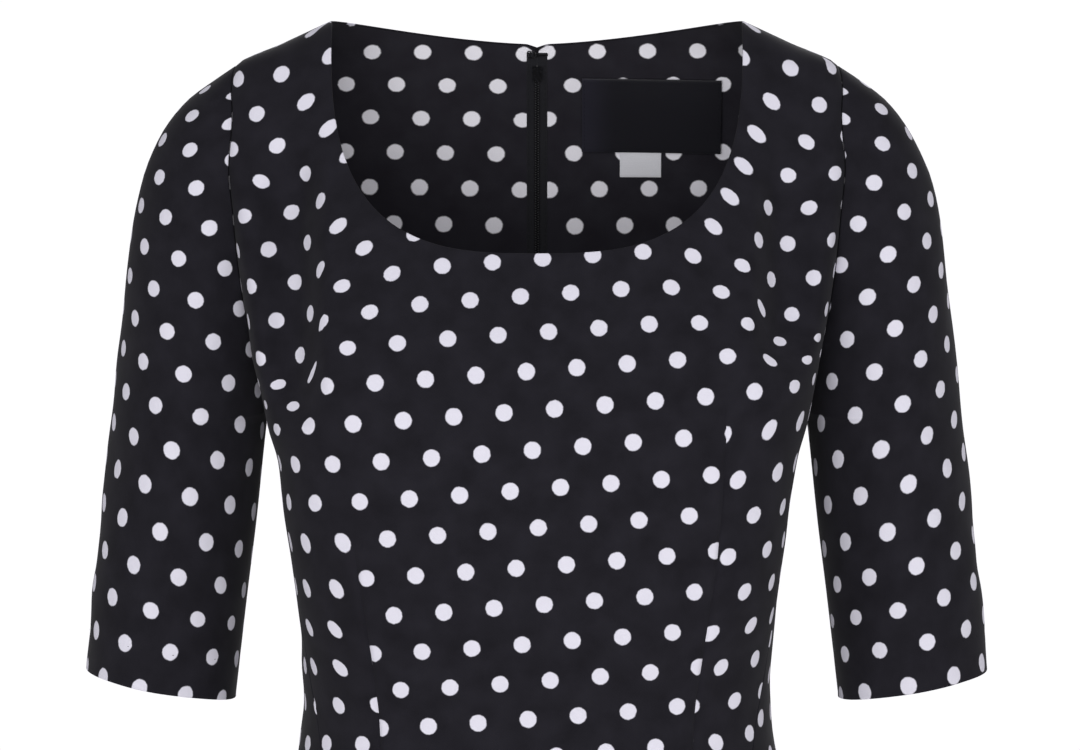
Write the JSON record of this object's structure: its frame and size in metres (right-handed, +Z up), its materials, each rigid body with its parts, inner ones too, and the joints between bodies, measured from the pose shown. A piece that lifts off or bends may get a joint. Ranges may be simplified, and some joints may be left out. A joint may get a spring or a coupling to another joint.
{
  "type": "pencil dress",
  "caption": "Knee-length pencil dress in dotted cloth, with a wide scoop neck, elbow sleeves, waist darts and a back zip, in its worn hollow form.",
  "frame": {"origin": "midway between the two points where the shoulder seams meet the neck edge, where the wearer's shoulders hold the dress", "axes": "+Z up, the front faces -Y, +X is the wearer's left side"},
  "size_m": [0.536, 0.2564, 1.04],
  "materials": {
    "dotted_cloth": "near-black stretch cotton with off-white dots 11 mm wide",
    "zip_tape": "black woven tape",
    "black_metal": "black enamel",
    "label_satin": "dark satin, bare",
    "white_tape": "white woven tape, bare"
  },
  "bodies": {
    "dress": {"front": "dotted_cloth", "back_left": "dotted_cloth", "back_right": "dotted_cloth", "vent_underlap": "dotted_cloth", "sleeve_left": "dotted_cloth", "sleeve_right": "dotted_cloth", "zip_tape_left": "zip_tape", "zip_tape_right": "zip_tape", "zip_slider": "black_metal", "eye": "black_metal", "hook": "black_metal", "neck_label": "label_satin", "size_tab": "white_tape"},
    "pull_tab": {"pull_tab": "black_metal"}
  },
  "joints": [
    {"name": "pull_tab_hinge", "type": "hinge", "parent": "dress", "child": "pull_tab", "pos_m": [0, 0.07699, -0.03182], "axis": [1, 0, 0], "range_deg": [0, 150]}
  ]
}
